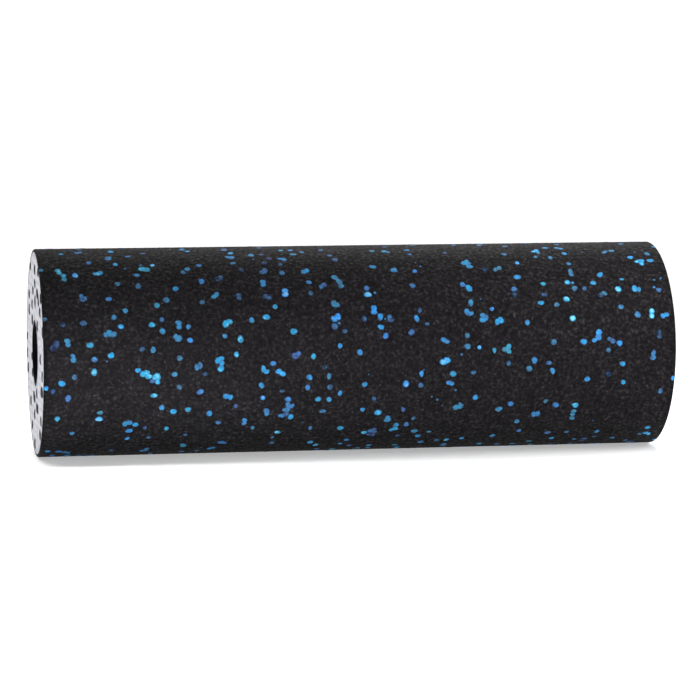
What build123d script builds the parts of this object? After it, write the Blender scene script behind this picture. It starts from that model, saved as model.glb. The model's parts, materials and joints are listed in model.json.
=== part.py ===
"""Hollow foam roller, lying on its side along X, in millimetres, +Z up.

The origin is on the ground, under the middle of the roller. Three coaxial pieces are bonded together:
a rigid pipe down the middle, a thick tube of bead foam round it, and a thin moulded foam skin outside.
"""

from build123d import *

import os

# Driving dimensions
LENGTH = 457.0
OUTER_DIAMETER = 150.0
SKIN_THICKNESS = 2.0
SKIN_EDGE_ROUND = 1.5
PIPE_OUTER_DIAMETER = 48.3
PIPE_WALL = 2.4
PIPE_EDGE_BREAK = 0.4

# Worked out from them
OUTER_RADIUS = OUTER_DIAMETER / 2
SKIN_INNER_RADIUS = OUTER_RADIUS - SKIN_THICKNESS
PIPE_OUTER_RADIUS = PIPE_OUTER_DIAMETER / 2
PIPE_INNER_RADIUS = PIPE_OUTER_RADIUS - PIPE_WALL

# Every piece is drawn on the left end's plane, centred on the roller's axis, and runs along +X.
LEFT_END = Plane(origin=(-LENGTH / 2, 0, OUTER_RADIUS), x_dir=(0, 1, 0), z_dir=(1, 0, 0))


def rings_at_the_ends(part, radius):
    """The two circular edges of this radius, one at each end of the roller."""
    circles = part.edges().filter_by(GeomType.CIRCLE)
    return circles.filter_by(lambda edge: abs(edge.radius - radius) < 1e-3)


# Rigid pipe that lines the bore, cut square, with its cut edges broken
with BuildPart() as core_pipe:
    with BuildSketch(LEFT_END):
        Circle(PIPE_OUTER_RADIUS)
        Circle(PIPE_INNER_RADIUS, mode=Mode.SUBTRACT)
    extrude(amount=LENGTH)
    chamfer(rings_at_the_ends(core_pipe.part, PIPE_INNER_RADIUS), PIPE_EDGE_BREAK)
    chamfer(rings_at_the_ends(core_pipe.part, PIPE_OUTER_RADIUS), PIPE_EDGE_BREAK)
core_pipe.part.label = "core_pipe"

# Thick tube of pale bead foam, which carries the load from the skin to the pipe
with BuildPart() as foam_body:
    with BuildSketch(LEFT_END):
        Circle(SKIN_INNER_RADIUS)
        Circle(PIPE_OUTER_RADIUS, mode=Mode.SUBTRACT)
    extrude(amount=LENGTH)
foam_body.part.label = "foam_body"

# Thin dark skin round the body, with its outer edges rounded
with BuildPart() as speckled_skin:
    with BuildSketch(LEFT_END):
        Circle(OUTER_RADIUS)
        Circle(SKIN_INNER_RADIUS, mode=Mode.SUBTRACT)
    extrude(amount=LENGTH)
    fillet(rings_at_the_ends(speckled_skin.part, OUTER_RADIUS), SKIN_EDGE_ROUND)
speckled_skin.part.label = "speckled_skin"

os.makedirs("parts", exist_ok=True)
export_step(core_pipe.part, "parts/core_pipe.step")
export_step(foam_body.part, "parts/foam_body.step")
export_step(speckled_skin.part, "parts/speckled_skin.step")
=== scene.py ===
"""Hollow foam roller: a speckled black skin on a pale bead-foam body, with a black pipe down the bore.

Everything is in metres, in the part's own frame: X runs along the roller, Z is up and the floor is at 0.
"""
import itertools
import json
import math
import random

import bmesh
import bpy
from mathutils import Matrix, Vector
from mathutils.geometry import delaunay_2d_cdt


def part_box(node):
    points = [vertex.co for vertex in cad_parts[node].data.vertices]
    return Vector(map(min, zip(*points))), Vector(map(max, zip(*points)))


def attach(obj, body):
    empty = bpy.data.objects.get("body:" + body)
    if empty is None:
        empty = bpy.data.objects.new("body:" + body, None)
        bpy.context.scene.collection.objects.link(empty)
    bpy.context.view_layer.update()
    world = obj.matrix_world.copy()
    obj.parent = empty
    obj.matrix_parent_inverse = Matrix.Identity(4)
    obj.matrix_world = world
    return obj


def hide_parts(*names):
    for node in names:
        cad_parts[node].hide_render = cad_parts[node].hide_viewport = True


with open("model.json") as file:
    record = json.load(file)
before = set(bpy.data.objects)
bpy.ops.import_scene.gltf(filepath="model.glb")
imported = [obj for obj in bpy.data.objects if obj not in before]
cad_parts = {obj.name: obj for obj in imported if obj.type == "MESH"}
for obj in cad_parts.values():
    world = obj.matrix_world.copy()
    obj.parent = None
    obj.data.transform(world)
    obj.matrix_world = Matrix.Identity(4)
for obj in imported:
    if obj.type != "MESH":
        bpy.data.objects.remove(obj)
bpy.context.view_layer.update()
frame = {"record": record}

MM = 0.001


def radius_of(node):
    """Outer radius of a coaxial CAD node."""
    low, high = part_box(node)
    return (high.y - low.y) / 2


def bore_radius():
    """Radius of the free bore, from the record's mount."""
    bore = next(m for m in frame["record"]["mounts"] if m["kind"] == "bore")
    return bore["dims"]["r_mm"] * MM


SKIN_LOW, SKIN_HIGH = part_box("speckled_skin")
HALF_LENGTH = (SKIN_HIGH.x - SKIN_LOW.x) / 2
AXIS_HEIGHT = (SKIN_HIGH.z + SKIN_LOW.z) / 2
OUTER_RADIUS = radius_of("speckled_skin")
BODY_RADIUS = radius_of("foam_body")
PIPE_RADIUS = radius_of("core_pipe")
BORE_RADIUS = bore_radius()
SIDES = (-1, 1)  # the left end and the right end, along X

# ---------------------------------------------------------------- beads in general
ROW_PITCH = 0.866  # between staggered rows of touching round beads, in bead widths
CORNER_DEPTH = 1.5  # where three beads meet, in groove depths
SHELF_SHARE = 0.62  # how far a broad top reaches towards the bead's border
SHELF_DROP = 0.12  # its fall by then, in groove depths
KEEL_SHARE = 0.75  # how wide a separate bead still is at its shoulder, below the surface
KEEL_SHOULDER = 0.6  # how deep the shoulder is, in depths of the whole bead
BEAD_POINTS = 16  # round a bead's outline
BEAD_ROUNDING = 0.2  # how much of the way its outline is moved to a circle
BLOB_WAVES = (2, 3, 5)  # waves round a blob's outline
BLOB_BULGE = 0.14  # their height, in radii
SEAM_SHARE = 1 / 20  # of the girth, laid out twice across the seam
SAME_POINT = 1e-9  # points of a layout closer than this would be merged
MIDDLE = 0.5  # the tone and the hue of an ordinary point

# ---------------------------------------------------------------- the skin
SKIN_EDGE_ROUND = 1.5 * MM
SKIN_GIRTH = 2 * math.pi * OUTER_RADIUS
STRAIGHT = HALF_LENGTH - SKIN_EDGE_ROUND
SKIN_BEAD = 4.3 * MM
SKIN_JITTER = 0.30  # how far a bead may lie from its place in the rows, in bead widths
SKIN_MARGIN = 0.6 * SKIN_BEAD  # kept clear of beads beside each rim
SKIN_GROOVE = 0.10 * MM
SKIN_DIP = 0.03 * MM  # how far the top of a bead may lie below the skin's radius
SKIN_TONES = (0.4, 0.6)
SKIN_RIM_POINTS = 240
EDGE_STEPS = 7
SHADED_EDGE_TONE = -1.5  # the tone of the rounded edges and the lip, which are plain and get painted shade, darker than the rest
EDGE_PAINTED_SHADE = 0.50  # how light the painted shade leaves them beside the rest
LIP_WAVE = 0.35 * MM  # how far the lip of the skin reaches over the pale face, at most
LIP_WAVES = (47, 71, 109)  # waves round it
LIP_DEPTH = 0.3 * MM
LIP_BACK = 0.6 * MM  # from the end to where the skin is as wide inside as the body
LAYOUT_SEED = 11
SKIN_SEED = 12

# ---------------------------------------------------------------- its blue beads
BLUE_BEADS = 1000
BLUE_CHAIN = 0.24  # the chance of one more bead beside a bead
BLUE_APART = (5.4 * MM, 5.4 * MM)  # along the roller and round it
BLUE_PULL = 0.18  # how much of the way the beads of a group are moved together
BLUE_SIZES = (0.76, 1.16, 0.98)  # smallest, largest and most usual
BLUE_STRETCH = (0.86, 1.16)
BLUE_CROWN = 0.09 * MM
BLUE_CROWN_RANGE = (0.6, 1.2)
BLUE_SUNK = 0.10 * MM  # how far a bead's rim lies below the skin's radius
BLUE_KEEL = 1.0 * MM
BLUE_RIM_DROP = 0.6  # how much deeper in tone a bead's rim is than its top
BLUE_HUE = (0.5, 0.22)  # mean and spread
BLUE_TONE = (0.62, 0.17)  # mean and spread
BLUE_TONE_LIMITS = (0.36, 0.93)
DEEP_TONES = (0.12, 0.36)
DEEP_SHARE = 0.10
WHITE_TONES = (0.95, 1.0)
WHITE_SHARE = 0.03
GROUP_TONE_SPREAD = 0.06
GROUP_HUE_SPREAD = 0.08
RIM_BEAD_RADIUS = 0.45 * SKIN_BEAD  # of the beads on the two rims
RIM_BEAD_POINTS = 20
BLUE_CHIPS = 90
CHIP_RADII = (0.6 * MM, 1.2 * MM)
CHIP_POINTS = 12
CHIP_CROWN = 0.4 * BLUE_CROWN
CHIP_TONES = (0.25, 0.65)
BLUE_SEED = 5

# ---------------------------------------------------------------- the body and its dark beads
BODY_BEAD = 6.4 * MM
BODY_STRETCH = 1.15  # beads are wider than they are high
BODY_JITTER = 0.28  # in bead widths
BODY_MARGIN = 0.45 * BODY_BEAD
BODY_RIM_STEP = 0.5 * BODY_BEAD  # between the points of a face's rims
BODY_GROOVE = 0.14 * MM
BODY_DIP = 0.06 * MM
BODY_TONES = (0.55, 1.0)
BODY_RIM_TONE = 0.5  # a middling pale
FACE_RECESS = 0.10 * MM  # from the skin's flat end back to the face
FACE_SEEDS = (41, 42)
BODY_SEED = 21

DARK_BEADS = 37
DARK_CHAIN = 0.16
DARK_APART = (22 * MM, 9 * MM)  # across the face and up it
DARK_LEVEL = 0.45 * BODY_BEAD  # the most that two beads of a group may differ in height
DARK_SIZE = 1.20  # in sizes of a pale bead
DARK_STRETCH = 1.1
DARK_CROWN = 0.40 * MM
DARK_KEEL = 2.5 * MM
DARK_SEEDS = (30, 32)

# ---------------------------------------------------------------- the pipe
PIPE_SEGMENTS = 160
PIPE_EDGE_ROUND = 0.4 * MM
PIPE_EDGE_STEPS = 4

# ---------------------------------------------------------------- colours, as (position, colour) stops
# the skin's grain, its lighter end partly painted glints; the paler grains after it are partly real, partly
# painted glints
SKIN_GRAIN_AND_GLINT_COLOURS = [(0.32, (0.0040, 0.0035, 0.0042)), (0.50, (0.0075, 0.0067, 0.0077)),
                (0.62, (0.0150, 0.0133, 0.0147)), (0.78, (0.038, 0.0335, 0.036))]
SPECK_AND_GLINT_COLOUR = (0.048, 0.043, 0.046)
BLUE_COLOURS = [(0.0, (0.009, 0.018, 0.045)), (0.2, (0.040, 0.064, 0.126)),
                (0.4, (0.056, 0.128, 0.24)), (0.6, (0.048, 0.205, 0.39)),
                (0.8, (0.032, 0.275, 0.55)), (0.93, (0.048, 0.37, 0.69)), (1.0, (0.22, 0.51, 0.67))]
BLUE_TINTS = [(0.0, (0.82, 0.74, 1.0)), (0.5, (0.70, 0.90, 0.95)), (1.0, (0.80, 1.0, 0.82))]
PALE_COLOURS = [(0.0, (0.42, 0.42, 0.47)), (0.45, (0.56, 0.56, 0.61)), (1.0, (0.70, 0.70, 0.74))]
DARK_COLOURS = [(0.3, (0.013, 0.013, 0.016)), (0.7, (0.036, 0.035, 0.040))]
PIPE_COLOURS = [(0.3, (0.0045, 0.0042, 0.0058)), (0.7, (0.0085, 0.008, 0.0105))]
FLOOR_COLOURS = [(0.3, (0.86, 0.86, 0.86)), (0.7, (0.88, 0.88, 0.88))]

# ---------------------------------------------------------------- floor, light and camera
FLOOR_RADIUS = 30.0
FLOOR_SEGMENTS = 96
FLOOR_DROP = 0.0004  # below 0, so that no bead dips into it
FLOOR_GLOW = 0.39  # the light of its own that keeps it white
FLOOR_CLOUD = 0.4  # the size of its faint patches

HORIZON_WHITE = 1.03
HORIZON_TOP = 0.12  # the sine of the elevation up to which all is white
DOME_WHITE = 0.03
DOME_FROM = 0.35  # and of the elevation from which all is dim

SUN_STRENGTH = 2.2
SUN_SPREAD = math.radians(70)
SUN_TILT = (math.radians(-18), math.radians(-12), 0)

# name, power in watts, (width, height), spread in degrees, position, target
LIGHTS = [
    ("back_top_strip", 1.96, (0.6, 0.2), 180, (0.20, 0.50, 0.50), (0.15, 0.0, 0.14)),
    ("back_left_box", 5.0, (0.8, 0.8), 180, (-1.2, 1.3, 0.8), (0.0, 0.0, 0.075)),
    ("right_end_box", 6.0, (0.9, 0.9), 180, (1.7, 0.1, 0.8), (0.0, 0.0, 0.075)),
    ("right_front_box", 1.10, (0.30, 0.30), 180, (0.27, -0.24, 0.28), (0.2, 0.0, 0.09)),
    ("left_floor_grid", 1.10, (0.22, 0.14), 40, (-0.24, -0.26, 0.55), (-0.24, -0.2599, 0.0)),
    ("middle_floor_grid", 0.57, (0.22, 0.14), 40, (-0.10, -0.26, 0.55), (-0.10, -0.2599, 0.0)),
]

CAMERA_AZIMUTH = math.radians(-10.47)
CAMERA_ELEVATION = math.radians(5.76)
CAMERA_DISTANCE = 2.255
CAMERA_LENS = 158.1
CAMERA_SENSOR = 36
CAMERA_REACH = 60  # past the far side of the floor
AIM_RIGHT = 0.0022  # it aims this far right of the roller's middle, as it sees it
AIM_DOWN = 0.0019  # and this far below it


# ---------------------------------------------------------------- gathering a mesh
class Surface:
    """Points and faces of one piece, with a tone and a hue for each point that its material reads.

    Every new point takes the hue that is set at the time.
    """

    def __init__(self):
        self.places = []
        self.tones = []
        self.hues = []
        self.faces = []
        self.hue = MIDDLE

    def point(self, place, tone=MIDDLE):
        """The number of a new point."""
        self.places.append(place)
        self.tones.append(tone)
        self.hues.append(self.hue)
        return len(self.places) - 1

    def loop(self, places, tone=MIDDLE):
        """The numbers of new points, in order."""
        return [self.point(place, tone) for place in places]

    def join(self, first, second):
        """Quads between two closed loops that have as many points as each other."""
        count = len(first)
        for k in range(count):
            after = (k + 1) % count
            self.faces.append((first[k], first[after], second[after], second[k]))

    def close(self, loop, centre):
        """A fan of triangles from a closed loop to one point."""
        for k, corner in enumerate(loop):
            self.faces.append((corner, loop[(k + 1) % len(loop)], centre))

    def piece(self, name, material, sharp=35):
        """The finished object, which rides on the CAD's one body. Edges over sharp degrees stay hard."""
        mesh = bpy.data.meshes.new(name)
        mesh.from_pydata(self.places, [], self.faces)
        for title, values in (("tone", self.tones), ("hue", self.hues)):
            mesh.attributes.new(title, "FLOAT", "POINT").data.foreach_set("value", values)
        shell = bmesh.new()
        shell.from_mesh(mesh)
        bmesh.ops.recalc_face_normals(shell, faces=shell.faces)
        shell.to_mesh(mesh)
        shell.free()
        mesh.shade_smooth()
        mesh.set_sharp_from_angle(angle=math.radians(sharp))
        mesh.materials.append(material)
        made = bpy.data.objects.new(name, mesh)
        bpy.context.scene.collection.objects.link(made)
        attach(made, "root")
        return made


def round_axis(x, radius, angle):
    """A point at this angle round the roller's axis, where 0 is straight down."""
    return (x, radius * math.sin(angle), AXIS_HEIGHT - radius * math.cos(angle))


def circle(x, radius, count):
    """Points of a circle round the roller's axis, starting underneath."""
    step = 2 * math.pi / count
    return [round_axis(x, radius, k * step) for k in range(count)]


def shifted(place, centre):
    """The same surface as place gives, reached by a step from this centre."""
    return lambda u, v, height: place(centre[0] + u, centre[1] + v, height)


# ---------------------------------------------------------------- beads laid out in a plane
def hex_rows(rng, start, length, girth, spacing, jitter):
    """Bead centres in staggered rows, each moved a little at random. The girth closes on itself."""
    rows = round(length / (spacing * ROW_PITCH))
    across = round(girth / spacing)
    centres = []
    for row in range(rows):
        for column in range(across):
            u = start + (row + 0.5 + rng.uniform(-jitter, jitter)) * length / rows
            v = (column + (row % 2) / 2 + rng.uniform(-jitter, jitter)) * girth / across
            centres.append((u, v % girth))
    return centres


def triangles_round(points, girth):
    """Delaunay triangles of points on a strip that closes on itself after one girth.

    Each triangle is three (index, (u, v)) corners, with v unwrapped so that the triangle is whole.
    """
    margin = SEAM_SHARE * girth
    copies = [(k, u, v) for k, (u, v) in enumerate(points)]
    copies += [(k, u, v + girth) for k, (u, v) in enumerate(points) if v < margin]
    copies += [(k, u, v - girth) for k, (u, v) in enumerate(points) if v > girth - margin]
    found = delaunay_2d_cdt([Vector((u, v)) for _, u, v in copies], [], [], 0, SAME_POINT)
    placed, faces, sources = found[0], found[2], found[3]
    kept = []
    for face in faces:
        middle = sum(placed[k].y for k in face) / 3
        if 0 <= middle < girth:
            kept.append([(copies[sources[k][0]][0], tuple(placed[k])) for k in face])
    return kept


def triangles_between(points, outer, inner, hole):
    """Delaunay triangles of points in a ring, with its two rims kept as edges."""
    edges = [(outer[k - 1], outer[k]) for k in range(len(outer))]
    edges += [(inner[k - 1], inner[k]) for k in range(len(inner))]
    found = delaunay_2d_cdt([Vector(p) for p in points], edges, [], 0, SAME_POINT)
    placed, faces, sources = found[0], found[2], found[3]
    kept = []
    for face in faces:
        middle = sum((placed[k] for k in face), Vector((0, 0))) / 3
        if middle.length > hole:
            kept.append([(sources[k][0], tuple(placed[k])) for k in face])
    return kept


def middle_of(*points):
    """The mean of some points in the plane."""
    return tuple(sum(axis) / len(points) for axis in zip(*points))


def outlines(triangles):
    """Each bead's border, as points round its centre: a point for each bead or pair of beads it meets."""
    borders = {}
    for triangle in triangles:
        names, places = zip(*triangle)
        heart = middle_of(*places)
        heart_key = ("heart", *sorted(names))
        for k in range(3):
            bead, here = triangle[k]
            around = borders.setdefault(bead, {})
            for name, there in (triangle[(k + 1) % 3], triangle[(k + 2) % 3]):
                half = middle_of(here, there)
                around[("edge", name)] = (half[0] - here[0], half[1] - here[1])
            around[heart_key] = (heart[0] - here[0], heart[1] - here[1])
    rings = {}
    for bead, around in borders.items():
        rings[bead] = sorted(around.values(), key=lambda step: math.atan2(step[1], step[0]))
    return rings


def neighbours(triangles):
    """The beads that touch each bead."""
    touching = {}
    for triangle in triangles:
        names = [corner for corner, _ in triangle]
        for name in names:
            touching.setdefault(name, set()).update(other for other in names if other != name)
    return {name: sorted(others) for name, others in touching.items()}


def clear_of(centre, others, apart):
    """Whether a bead's centre is outside an ellipse, of these two half widths, round each of the others."""
    across, along = apart
    return all(math.hypot((centre[0] - u) / across, (centre[1] - v) / along) >= 1 for u, v in others)


def choose(rng, centres, touching, count, chain, apart):
    """Groups of beads chosen at random, each begun clear of all the others.

    Each bead of a group has a chance, chain, of one more beside it.
    """
    groups, chosen = [], []
    for k in rng.sample(range(len(centres)), len(centres)):
        if len(chosen) >= count:
            break
        if not clear_of(centres[k], [centres[other] for other in chosen], apart):
            continue
        group = [k]
        while rng.random() < chain:
            taken = chosen + group
            beside = [n for n in touching.get(k, ()) if n < len(centres) and n not in taken]
            if not beside:
                break
            k = rng.choice(beside)
            group.append(k)
        groups.append(group)
        chosen += group
    return groups


def rounded(ring, size, stretch):
    """A bead's border at even angles, scaled by size, made a little rounder and stretched along u."""
    polar = sorted((math.atan2(v, u), math.hypot(u, v)) for u, v in ring)
    mean = sum(reach for _, reach in polar) / len(polar)
    (first, first_reach), (last, last_reach) = polar[0], polar[-1]
    polar = [(last - 2 * math.pi, last_reach)] + polar + [(first + 2 * math.pi, first_reach)]
    points = []
    for k in range(BEAD_POINTS):
        angle = math.pi * (2 * k / BEAD_POINTS - 1)
        after = next(n for n in range(1, len(polar)) if polar[n][0] >= angle)
        (low, low_reach), (high, high_reach) = polar[after - 1], polar[after]
        reach = low_reach + (high_reach - low_reach) * (angle - low) / (high - low)
        reach = size * (reach + BEAD_ROUNDING * (mean - reach))
        points.append((stretch * reach * math.cos(angle), reach * math.sin(angle) / stretch))
    return points


def wave(rng, counts):
    """A smooth closed curve between -1 and 1, with this many waves of each kind in one turn."""
    parts = [(count, rng.uniform(0, 2 * math.pi)) for count in counts]
    return lambda angle: sum(math.sin(count * angle + phase) for count, phase in parts) / len(parts)


def blob(rng, radius, count):
    """An uneven round outline."""
    bulge = wave(rng, BLOB_WAVES)
    ring = []
    for k in range(count):
        angle = 2 * math.pi * k / count
        reach = radius * (1 + BLOB_BULGE * bulge(angle))
        ring.append((reach * math.cos(angle), reach * math.sin(angle)))
    return ring


# ---------------------------------------------------------------- relief of touching beads
class Relief:
    """Touching beads over a surface, as low domes that meet in grooves.

    place(u, v, height) gives a point in space. crowns maps a bead to (height, tone). A point of a rim
    isn't in crowns: it stays level and has the rim's tone.
    """

    def __init__(self, surface, place, crowns, groove, rim_tone):
        self.surface = surface
        self.place = place
        self.crowns = crowns
        self.groove = groove
        self.rim_tone = rim_tone
        self.tops = {}
        self.borders = {}
        self.shelves = {}

    def top(self, corner):
        """The middle of a bead, or a point of a rim."""
        name, spot = corner
        if name not in self.tops:
            height, tone = self.crowns.get(name, (0.0, self.rim_tone))
            self.tops[name] = self.surface.point(self.place(*spot, height), tone)
        return self.tops[name]

    def border(self, names, spot, depth):
        """Where two or three beads meet, or halfway between two points of a rim."""
        key = tuple(sorted(names))
        if key not in self.borders:
            on_rim = len(key) == 2 and not any(name in self.crowns for name in key)
            height, tone = (0.0, self.rim_tone) if on_rim else (-depth, 0.0)
            self.borders[key] = self.surface.point(self.place(*spot, height), tone)
        return self.borders[key]

    def ledge(self, corner, names, spot):
        """The edge of a bead's broad top, on the way from its middle to one point of its border."""
        name, here = corner
        key = (name, tuple(sorted(names)))
        if key not in self.shelves:
            height, tone = self.crowns[name]
            u, v = (here[axis] + SHELF_SHARE * (spot[axis] - here[axis]) for axis in (0, 1))
            place = self.place(u, v, height - SHELF_DROP * self.groove)
            self.shelves[key] = self.surface.point(place, tone)
        return self.shelves[key]

    def lay(self, triangles, broad=False):
        """All the domes. Broad tops take more faces, for a surface seen close."""
        for triangle in triangles:
            names, spots = zip(*triangle)
            heart = middle_of(*spots)
            low = self.border(names, heart, CORNER_DEPTH * self.groove)
            for k, corner in enumerate(triangle):
                for other in (triangle[(k + 1) % 3], triangle[(k + 2) % 3]):
                    pair = (corner[0], other[0])
                    spot = middle_of(corner[1], other[1])
                    side = self.border(pair, spot, self.groove)
                    if broad and corner[0] in self.crowns:
                        near = self.ledge(corner, pair, spot)
                        far = self.ledge(corner, names, heart)
                        self.surface.faces.append((self.top(corner), near, far))
                        self.surface.faces.append((near, side, low, far))
                    else:
                        self.surface.faces.append((self.top(corner), side, low))

    def rim(self, names):
        """The points made along a rim, corner and edge in turn."""
        loop = []
        for k, name in enumerate(names):
            after = names[(k + 1) % len(names)]
            loop.append(self.tops[name])
            loop.append(self.borders[tuple(sorted((name, after)))])
        return loop


def add_bead(surface, outline, place, crown, sunk, keel, tone, rim_tone):
    """One closed bead: a low dome over its outline, and a rounded keel below that is this deep.

    place takes a step from the bead's centre. The rim lies this far sunk, and crown is the dome's height.
    """
    near_rim = (3 * tone + 2 * rim_tone) / 5
    levels = [(1.0, -sunk, rim_tone), (0.86, 0.35 * crown, near_rim),
              (0.62, 0.75 * crown, tone), (0.30, 0.97 * crown, tone)]
    loops = []
    for share, height, shade in levels:
        loops.append(surface.loop([place(share * u, share * v, height) for u, v in outline], shade))
    for upper, lower in zip(loops, loops[1:]):
        surface.join(upper, lower)
    surface.close(loops[-1], surface.point(place(0, 0, crown), tone))
    shoulder = [place(KEEL_SHARE * u, KEEL_SHARE * v, -KEEL_SHOULDER * keel) for u, v in outline]
    below = surface.loop(shoulder, rim_tone)
    surface.join(loops[0], below)
    surface.close(below, surface.point(place(0, 0, -keel), rim_tone))


# ---------------------------------------------------------------- procedural materials
def principled(name, roughness, specular):
    """A new node material: its tree, its shader and a coordinate node in the object's own space."""
    material = bpy.data.materials.new(name)
    material.use_nodes = True
    tree = material.node_tree
    shader = tree.nodes["Principled BSDF"]
    shader.inputs["Roughness"].default_value = roughness
    shader.inputs["Specular IOR Level"].default_value = specular
    spots = tree.nodes.new("ShaderNodeTexCoord").outputs["Object"]
    return material, tree, shader, spots


def noise(tree, spots, size, detail=2.0, stretch=None, rough=0.5):
    """Noise whose features are about this size, in metres. stretch scales the three axes."""
    if stretch:
        mapping = tree.nodes.new("ShaderNodeMapping")
        mapping.inputs["Scale"].default_value = stretch
        tree.links.new(spots, mapping.inputs["Vector"])
        spots = mapping.outputs["Vector"]
    texture = tree.nodes.new("ShaderNodeTexNoise")
    texture.inputs["Scale"].default_value = 1 / size
    texture.inputs["Detail"].default_value = detail
    texture.inputs["Roughness"].default_value = rough
    tree.links.new(spots, texture.inputs["Vector"])
    return texture.outputs["Fac"]


def stored(tree, title):
    """A number stored at each point of the mesh."""
    node = tree.nodes.new("ShaderNodeAttribute")
    node.attribute_name = title
    return node.outputs["Fac"]


def ramp(tree, value, stops):
    """A colour ramp with these (position, colour) stops."""
    node = tree.nodes.new("ShaderNodeValToRGB")
    while len(node.color_ramp.elements) < len(stops):
        node.color_ramp.elements.new(0.5)
    for element, (position, colour) in zip(node.color_ramp.elements, stops):
        element.position = position
        element.color = (*colour, 1)
    tree.links.new(value, node.inputs["Fac"])
    return node.outputs["Color"]


def remap(tree, value, low, high, new_low, new_high):
    """The value moved from one range to another, and kept inside it."""
    node = tree.nodes.new("ShaderNodeMapRange")
    limits = {"From Min": low, "From Max": high, "To Min": new_low, "To Max": new_high}
    for name, number in limits.items():
        node.inputs[name].default_value = number
    tree.links.new(value, node.inputs["Value"])
    return node.outputs["Result"]


def spread(tree, texture, new_low, new_high):
    """A noise moved to this range. Nearly all of it lies between 0.3 and 0.7."""
    return remap(tree, texture, 0.3, 0.7, new_low, new_high)


def total(tree, first, second):
    """The sum of two sockets."""
    node = tree.nodes.new("ShaderNodeMath")
    node.operation = "ADD"
    tree.links.new(first, node.inputs[0])
    tree.links.new(second, node.inputs[1])
    return node.outputs["Value"]


def mix(tree, factor, first, second, blend="MIX"):
    """Two colours mixed. Each, like the factor, is a socket or a constant."""
    node = tree.nodes.new("ShaderNodeMix")
    node.data_type = "RGBA"
    node.blend_type = blend
    for name, value in (("Factor", factor), ("A", first), ("B", second)):
        socket = next(s for s in node.inputs if s.name == name and s.enabled)
        if isinstance(value, bpy.types.NodeSocket):
            tree.links.new(value, socket)
        elif name == "Factor":
            socket.default_value = value
        else:
            socket.default_value = (*value, 1)
    return next(s for s in node.outputs if s.enabled)


def shaded(tree, colour, value):
    """The colour multiplied by a number."""
    node = tree.nodes.new("ShaderNodeCombineColor")
    for channel in node.inputs:
        tree.links.new(value, channel)
    return mix(tree, 1.0, colour, node.outputs["Color"], "MULTIPLY")


def bump(tree, shader, layers):
    """Bumps of (height socket, depth in metres), one on the other, into the shader's normal."""
    normal = None
    for height, depth in layers:
        node = tree.nodes.new("ShaderNodeBump")
        node.inputs["Distance"].default_value = depth
        tree.links.new(height, node.inputs["Height"])
        if normal:
            tree.links.new(normal, node.inputs["Normal"])
        normal = node.outputs["Normal"]
    tree.links.new(normal, shader.inputs["Normal"])


def skin_material():
    """Black moulded bead foam: a sandpaper grain, with a few paler grains in it. The grain's lighter parts
    and the paler grains are partly real grain, partly painted glints; the rounded edges and the lip get
    painted shade.
    """
    material, tree, shader, spots = principled("black_bead_foam", 0.85, 0.09)
    grain = noise(tree, spots, 2.4 * MM)
    patches = spread(tree, noise(tree, spots, 14 * MM, 3.0), 0.82, 1.18)
    # painted shade: the rounded edges and the lip are darkened to half; the grooves between beads come out
    # a little darker too
    painted_edge_shade = remap(tree, stored(tree, "tone"), SHADED_EDGE_TONE, MIDDLE, EDGE_PAINTED_SHADE, 1.0)
    # paler grains: partly real grain, partly painted glints
    specks_and_glints = remap(tree, noise(tree, spots, 1.9 * MM, 1.0), 0.70, 0.78, 0.0, 1.0)
    fine = noise(tree, spots, 0.6 * MM, 3.0, rough=0.6)
    # the grain's colour: partly real grain, partly painted glints
    base = shaded(tree, ramp(tree, grain, SKIN_GRAIN_AND_GLINT_COLOURS), patches)
    base = mix(tree, specks_and_glints, shaded(tree, base, painted_edge_shade), SPECK_AND_GLINT_COLOUR)
    tree.links.new(base, shader.inputs["Base Color"])
    tree.links.new(spread(tree, grain, 0.92, 0.66), shader.inputs["Roughness"])
    bump(tree, shader, [(grain, 0.20 * MM), (fine, 0.07 * MM)])
    return material


def blue_material():
    """Blue beads, each of its own depth and hue of blue, with an uneven face."""
    material, tree, shader, spots = principled("blue_bead_foam", 0.75, 0.06)
    uneven = spread(tree, noise(tree, spots, 2.6 * MM), -0.22, 0.22)
    grain = noise(tree, spots, 0.7 * MM, 3.0, rough=0.6)
    base = ramp(tree, total(tree, stored(tree, "tone"), uneven), BLUE_COLOURS)
    tint = ramp(tree, stored(tree, "hue"), BLUE_TINTS)
    base = mix(tree, 1.0, base, tint, "MULTIPLY")
    base = shaded(tree, base, spread(tree, grain, 0.88, 1.10))
    tree.links.new(base, shader.inputs["Base Color"])
    tree.links.new(spread(tree, grain, 0.7, 0.5), shader.inputs["Roughness"])
    bump(tree, shader, [(grain, 0.10 * MM)])
    return material


def pale_material():
    """Pale moulded bead foam: cool white beads, greyer where they meet, with fine pores."""
    material, tree, shader, spots = principled("pale_bead_foam", 0.7, 0.3)
    pores = noise(tree, spots, 0.8 * MM, 3.0, rough=0.6)
    base = ramp(tree, stored(tree, "tone"), PALE_COLOURS)
    base = shaded(tree, base, remap(tree, pores, 0.25, 0.5, 0.88, 1.0))
    tree.links.new(base, shader.inputs["Base Color"])
    tree.links.new(spread(tree, pores, 0.8, 0.6), shader.inputs["Roughness"])
    bump(tree, shader, [(pores, 0.12 * MM)])
    return material


def dark_material():
    """Near-black beads of the pale body."""
    material, tree, shader, spots = principled("dark_bead_foam", 0.9, 0.06)
    grain = noise(tree, spots, 0.8 * MM, 3.0, rough=0.6)
    tree.links.new(ramp(tree, grain, DARK_COLOURS), shader.inputs["Base Color"])
    tree.links.new(spread(tree, grain, 0.95, 0.8), shader.inputs["Roughness"])
    bump(tree, shader, [(grain, 0.10 * MM)])
    return material


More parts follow.
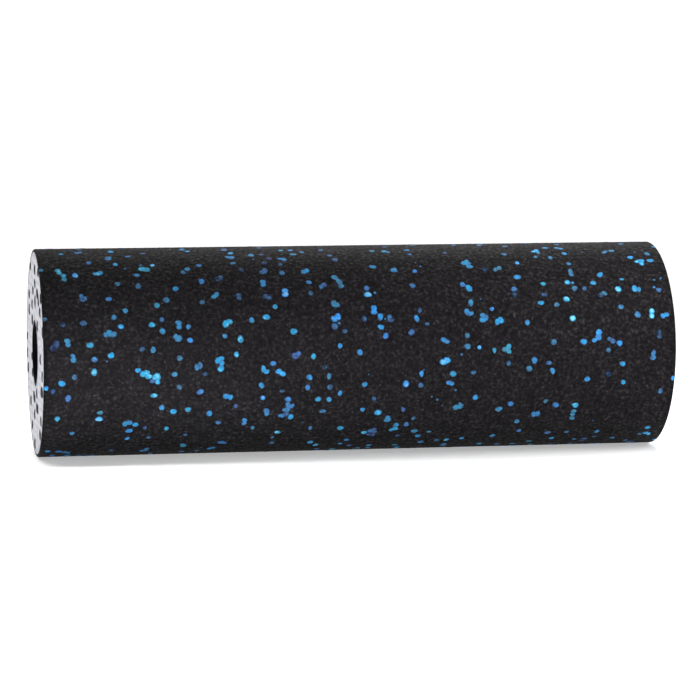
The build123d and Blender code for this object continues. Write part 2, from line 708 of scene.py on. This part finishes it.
def pipe_material():
    """Black extruded plastic, with faint draw lines along its length."""
    material, tree, shader, spots = principled("black_pipe_plastic", 0.55, 0.02)
    lines = noise(tree, spots, 0.9 * MM, stretch=(0.03, 1, 1))
    scuffs = noise(tree, spots, 6 * MM, 4.0)
    tree.links.new(ramp(tree, scuffs, PIPE_COLOURS), shader.inputs["Base Color"])
    tree.links.new(spread(tree, lines, 0.48, 0.66), shader.inputs["Roughness"])
    bump(tree, shader, [(lines, 0.03 * MM)])
    return material


def floor_material():
    """Matt white, with a little light of its own."""
    material, tree, shader, spots = principled("white_floor", 0.9, 0.1)
    tree.links.new(ramp(tree, noise(tree, spots, FLOOR_CLOUD), FLOOR_COLOURS), shader.inputs["Base Color"])
    shader.inputs["Emission Color"].default_value = (1, 1, 1, 1)
    shader.inputs["Emission Strength"].default_value = FLOOR_GLOW
    return material


# ---------------------------------------------------------------- the skin and its blue beads
def on_skin(u, v, height):
    """A point over the skin: u along the roller and over its rounded edges, v round it from underneath."""
    beyond = abs(u) - STRAIGHT
    if beyond <= 0:
        return round_axis(u, OUTER_RADIUS + height, v / OUTER_RADIUS)
    bend = min(beyond / SKIN_EDGE_ROUND, math.pi / 2)
    reach = SKIN_EDGE_ROUND + height
    x = math.copysign(STRAIGHT + reach * math.sin(bend), u)
    flat = max(0.0, beyond - SKIN_EDGE_ROUND * math.pi / 2)
    radius = OUTER_RADIUS - SKIN_EDGE_ROUND + reach * math.cos(bend) - flat
    return round_axis(x, radius, v / OUTER_RADIUS)


def skin_layout():
    """Bead centres of the skin and the triangles between them, with a rim of even points at each end."""
    rng = random.Random(LAYOUT_SEED)
    start = -STRAIGHT + SKIN_MARGIN
    length = 2 * (STRAIGHT - SKIN_MARGIN)
    centres = hex_rows(rng, start, length, SKIN_GIRTH, SKIN_BEAD, SKIN_JITTER)
    rims = []
    points = list(centres)
    for side in SIDES:
        rims.append(list(range(len(points), len(points) + SKIN_RIM_POINTS)))
        points += [(side * STRAIGHT, k * SKIN_GIRTH / SKIN_RIM_POINTS) for k in range(SKIN_RIM_POINTS)]
    return centres, points, rims, triangles_round(points, SKIN_GIRTH)


def make_skin(layout):
    """The black skin: relief outside, rounded edges, flat end rings with an uneven lip, plain inside."""
    rng = random.Random(SKIN_SEED)
    centres, _, rims, triangles = layout
    surface = Surface()
    crowns = {k: (-rng.uniform(0, SKIN_DIP), rng.uniform(*SKIN_TONES)) for k in range(len(centres))}
    # the rims of the skin take the tone that gives the edges their painted shade
    relief = Relief(surface, on_skin, crowns, SKIN_GROOVE, SHADED_EDGE_TONE)
    relief.lay(triangles)
    inner_loops = []
    for side, rim in zip(SIDES, rims):
        last = relief.rim(rim)
        count = len(last)
        for step in range(1, EDGE_STEPS + 1):
            u = side * (STRAIGHT + SKIN_EDGE_ROUND * math.pi / 2 * step / EDGE_STEPS)
            # the rounded edge, with painted shade
            loop = surface.loop([on_skin(u, k * SKIN_GIRTH / count, 0) for k in range(count)], SHADED_EDGE_TONE)
            surface.join(last, loop)
            last = loop
        lip = wave(rng, LIP_WAVES)
        places = []
        for k in range(count):
            angle = 2 * math.pi * k / count
            radius = BODY_RADIUS - LIP_WAVE * (1 + lip(angle)) / 2
            places.append(round_axis(side * HALF_LENGTH, radius, angle))
        # the lip and its underside, with painted shade
        lip_loop = surface.loop(places, SHADED_EDGE_TONE)
        surface.join(last, lip_loop)
        under = surface.loop([(x - side * LIP_DEPTH, y, z) for x, y, z in places], SHADED_EDGE_TONE)
        surface.join(lip_loop, under)
        inner = surface.loop(circle(side * (HALF_LENGTH - LIP_BACK), BODY_RADIUS, count))
        surface.join(under, inner)
        inner_loops.append(inner)
    surface.join(*inner_loops)
    skin = surface.piece("speckled_skin_foam", skin_material())
    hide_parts("speckled_skin")


def blue_tone(rng):
    """How bright a blue bead is: most are middling or bright, some deep, a few nearly white."""
    kind = rng.random()
    if kind < WHITE_SHARE:
        return rng.uniform(*WHITE_TONES)
    if kind < WHITE_SHARE + DEEP_SHARE:
        return rng.uniform(*DEEP_TONES)
    lowest, highest = BLUE_TONE_LIMITS
    return min(highest, max(lowest, rng.gauss(*BLUE_TONE)))


def drawn_in(centre, beside):
    """A blue bead's centre, moved a little way to the blue beads beside it, so that they merge."""
    u, v = centre
    for other_u, other_v in beside:
        across = (other_v - centre[1] + SKIN_GIRTH / 2) % SKIN_GIRTH - SKIN_GIRTH / 2
        u += BLUE_PULL * (other_u - centre[0]) / len(beside)
        v += BLUE_PULL * across / len(beside)
    return (u, v)


def make_blue_beads(layout):
    """Every blue bead of the skin, with some small chips of broken bead between them.

    The beads of a group share about one tone and one hue.
    """
    rng = random.Random(BLUE_SEED)
    centres, points, rims, triangles = layout
    rings = outlines(triangles)
    touching = neighbours(triangles)
    surface = Surface()

    def add(centre, ring, crown, tone, hue):
        surface.hue = min(1.0, max(0.0, hue))
        place = shifted(on_skin, centre)
        add_bead(surface, ring, place, crown, BLUE_SUNK, BLUE_KEEL, tone, tone - BLUE_RIM_DROP)

    for group in choose(rng, centres, touching, BLUE_BEADS, BLUE_CHAIN, BLUE_APART):
        tone, hue = blue_tone(rng), rng.gauss(*BLUE_HUE)
        for k in group:
            ring = rounded(rings[k], rng.triangular(*BLUE_SIZES), rng.uniform(*BLUE_STRETCH))
            spot = drawn_in(centres[k], [centres[other] for other in group if other in touching[k]])
            shade = min(1.0, tone + rng.gauss(0, GROUP_TONE_SPREAD))
            crown = rng.uniform(*BLUE_CROWN_RANGE) * BLUE_CROWN
            add(spot, ring, crown, shade, rng.gauss(hue, GROUP_HUE_SPREAD))
    rim_beads = round(SKIN_GIRTH / SKIN_BEAD * BLUE_BEADS / len(centres))
    for rim in rims:
        for k in rng.sample(rim, rim_beads):
            ring = blob(rng, RIM_BEAD_RADIUS, RIM_BEAD_POINTS)
            add(points[k], ring, BLUE_CROWN, blue_tone(rng), rng.gauss(*BLUE_HUE))
    for _ in range(BLUE_CHIPS):
        spot = (rng.uniform(-STRAIGHT, STRAIGHT), rng.uniform(0, SKIN_GIRTH))
        chip = blob(rng, rng.uniform(*CHIP_RADII), CHIP_POINTS)
        add(spot, chip, CHIP_CROWN, rng.uniform(*CHIP_TONES), rng.gauss(*BLUE_HUE))
    surface.piece("blue_beads", blue_material())


# ---------------------------------------------------------------- the pale body and its dark beads
def face_place(side):
    """The point over an end face of the body for a step (u, v) from the axis."""
    def place(u, v, height):
        return (side * (HALF_LENGTH - FACE_RECESS + height), u, AXIS_HEIGHT + v)
    return place


def ring_points(radius):
    """Even points of a circle in the plane of an end face."""
    count = round(2 * math.pi * radius / BODY_RIM_STEP)
    step = 2 * math.pi / count
    return [(radius * math.sin(k * step), -radius * math.cos(k * step)) for k in range(count)]


def face_layout(seed):
    """Bead centres of an end face, its two rims, and the triangles between them."""
    rng = random.Random(seed)
    centres = []
    rows = math.ceil(BODY_RADIUS / (BODY_BEAD * ROW_PITCH)) + 1
    for row in range(-rows, rows + 1):
        for column in range(-rows, rows + 1):
            across = column + (row % 2) / 2 + rng.uniform(-BODY_JITTER, BODY_JITTER)
            up = row + rng.uniform(-BODY_JITTER, BODY_JITTER)
            u, v = across * BODY_BEAD * BODY_STRETCH, up * BODY_BEAD * ROW_PITCH
            if PIPE_RADIUS + BODY_MARGIN < math.hypot(u, v) < BODY_RADIUS - BODY_MARGIN:
                centres.append((u, v))
    points = list(centres)
    rims = []
    for radius in (BODY_RADIUS, PIPE_RADIUS):
        ring = ring_points(radius)
        rims.append(list(range(len(points), len(points) + len(ring))))
        points += ring
    return centres, rims, triangles_between(points, *rims, PIPE_RADIUS)


def make_body(layouts):
    """The pale body: a closed tube whose two end faces show the beads that it is moulded from."""
    rng = random.Random(BODY_SEED)
    surface = Surface()
    end_loops = []
    for side, (centres, rims, triangles) in zip(SIDES, layouts):
        crowns = {k: (rng.uniform(-BODY_DIP, 0.0), rng.uniform(*BODY_TONES)) for k in range(len(centres))}
        relief = Relief(surface, face_place(side), crowns, BODY_GROOVE, BODY_RIM_TONE)
        relief.lay(triangles, broad=True)
        end_loops.append([relief.rim(rim) for rim in rims])
    for left, right in zip(*end_loops):
        surface.join(left, right)
    body = surface.piece("foam_body_beads", pale_material(), sharp=60)
    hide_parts("foam_body")


def level_neighbours(centres, triangles):
    """The beads that touch each bead of an end face from about its own height."""
    level = {}
    for k, others in neighbours(triangles).items():
        if k < len(centres):
            inside = [other for other in others if other < len(centres)]
            level[k] = [n for n in inside if abs(centres[n][1] - centres[k][1]) < DARK_LEVEL]
    return level


def make_dark_beads(layouts):
    """The near-black beads in each end face, one piece for each end."""
    material = dark_material()
    for side, end, seed, (centres, _, triangles) in zip(SIDES, ("left", "right"), DARK_SEEDS, layouts):
        rings = outlines(triangles)
        level = level_neighbours(centres, triangles)
        surface = Surface()
        over_face = face_place(side)
        groups = choose(random.Random(seed), centres, level, DARK_BEADS, DARK_CHAIN, DARK_APART)
        for k in itertools.chain(*groups):
            ring = rounded(rings[k], DARK_SIZE, DARK_STRETCH)
            place = shifted(over_face, centres[k])
            add_bead(surface, ring, place, DARK_CROWN, BODY_GROOVE / 2, DARK_KEEL, MIDDLE, MIDDLE)
        surface.piece(f"dark_beads_{end}", material)


# ---------------------------------------------------------------- the pipe
def make_pipe():
    """The core pipe, with softened cut edges."""
    surface = Surface()
    end = HALF_LENGTH - PIPE_EDGE_ROUND
    turns = [math.pi / 2 * k / PIPE_EDGE_STEPS for k in range(PIPE_EDGE_STEPS + 1)]
    profile = []
    for side in SIDES:
        outward = [(side * (end + PIPE_EDGE_ROUND * math.sin(turn)),
                    PIPE_RADIUS - PIPE_EDGE_ROUND * (1 - math.cos(turn))) for turn in turns]
        inward = [(side * (end + PIPE_EDGE_ROUND * math.cos(turn)),
                   BORE_RADIUS + PIPE_EDGE_ROUND * (1 - math.sin(turn))) for turn in turns]
        rim = outward + inward
        profile += rim if side > 0 else rim[::-1]
    loops = [surface.loop(circle(x, radius, PIPE_SEGMENTS)) for x, radius in profile]
    for k, loop in enumerate(loops):
        surface.join(loops[k - 1], loop)
    pipe = surface.piece("core_pipe_shell", pipe_material())
    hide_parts("core_pipe")


# ---------------------------------------------------------------- floor, light and camera
def make_floor():
    """A plain white floor, far wider than any view."""
    mesh = bpy.data.meshes.new("studio_floor")
    disc = bmesh.new()
    bmesh.ops.create_circle(disc, cap_ends=True, radius=FLOOR_RADIUS, segments=FLOOR_SEGMENTS)
    disc.to_mesh(mesh)
    disc.free()
    mesh.materials.append(floor_material())
    floor = bpy.data.objects.new("studio_floor", mesh)
    floor.location.z = -FLOOR_DROP
    bpy.context.scene.collection.objects.link(floor)


def make_world():
    """A pale studio: white round the horizon, dimmer overhead."""
    world = bpy.data.worlds.new("studio")
    bpy.context.scene.world = world
    world.use_nodes = True
    tree = world.node_tree
    direction = tree.nodes.new("ShaderNodeTexCoord").outputs["Generated"]
    split = tree.nodes.new("ShaderNodeSeparateXYZ")
    tree.links.new(direction, split.inputs["Vector"])
    sky = [(HORIZON_TOP, (HORIZON_WHITE,) * 3), (DOME_FROM, (DOME_WHITE,) * 3)]
    tree.links.new(ramp(tree, split.outputs["Z"], sky), tree.nodes["Background"].inputs["Color"])


def make_light(name, power, size, spread_angle, position, target):
    """One rectangular softbox, aimed at its target. A small spread is a grid over it."""
    light = bpy.data.lights.new(name, "AREA")
    light.shape = "RECTANGLE"
    light.size, light.size_y = size
    light.energy = power
    light.spread = math.radians(spread_angle)
    lamp = bpy.data.objects.new(name, light)
    lamp.location = position
    lamp.rotation_euler = (Vector(target) - Vector(position)).to_track_quat("-Z", "Y").to_euler()
    lamp.visible_camera = False
    bpy.context.scene.collection.objects.link(lamp)


def make_sun():
    """Soft light from high above, even over the whole floor."""
    light = bpy.data.lights.new("soft_sun", "SUN")
    light.energy = SUN_STRENGTH
    light.angle = SUN_SPREAD
    lamp = bpy.data.objects.new("soft_sun", light)
    lamp.rotation_euler = SUN_TILT
    bpy.context.scene.collection.objects.link(lamp)


def make_camera():
    """The camera, at the photograph's angle and distance."""
    flat = math.cos(CAMERA_ELEVATION)
    back = Vector((math.sin(CAMERA_AZIMUTH) * flat, -math.cos(CAMERA_AZIMUTH) * flat,
                   math.sin(CAMERA_ELEVATION)))
    right = Vector((math.cos(CAMERA_AZIMUTH), math.sin(CAMERA_AZIMUTH), 0))
    up = back.cross(right)
    data = bpy.data.cameras.new("camera")
    data.lens = CAMERA_LENS
    data.sensor_width = CAMERA_SENSOR
    data.clip_end = CAMERA_REACH
    camera = bpy.data.objects.new("camera", data)
    centre = Vector((0, 0, AXIS_HEIGHT))
    camera.location = centre + back * CAMERA_DISTANCE + right * AIM_RIGHT - up * AIM_DOWN
    camera.rotation_euler = (-back).to_track_quat("-Z", "Y").to_euler()
    bpy.context.scene.collection.objects.link(camera)
    bpy.context.scene.camera = camera


# ---------------------------------------------------------------- making it all
make_camera()
skin_beads = skin_layout()
make_skin(skin_beads)
make_blue_beads(skin_beads)
face_beads = [face_layout(seed) for seed in FACE_SEEDS]
make_body(face_beads)
make_dark_beads(face_beads)
make_pipe()
make_floor()
make_world()
for light in LIGHTS:
    make_light(*light)
make_sun()
bpy.context.scene.view_settings.view_transform = "Standard"
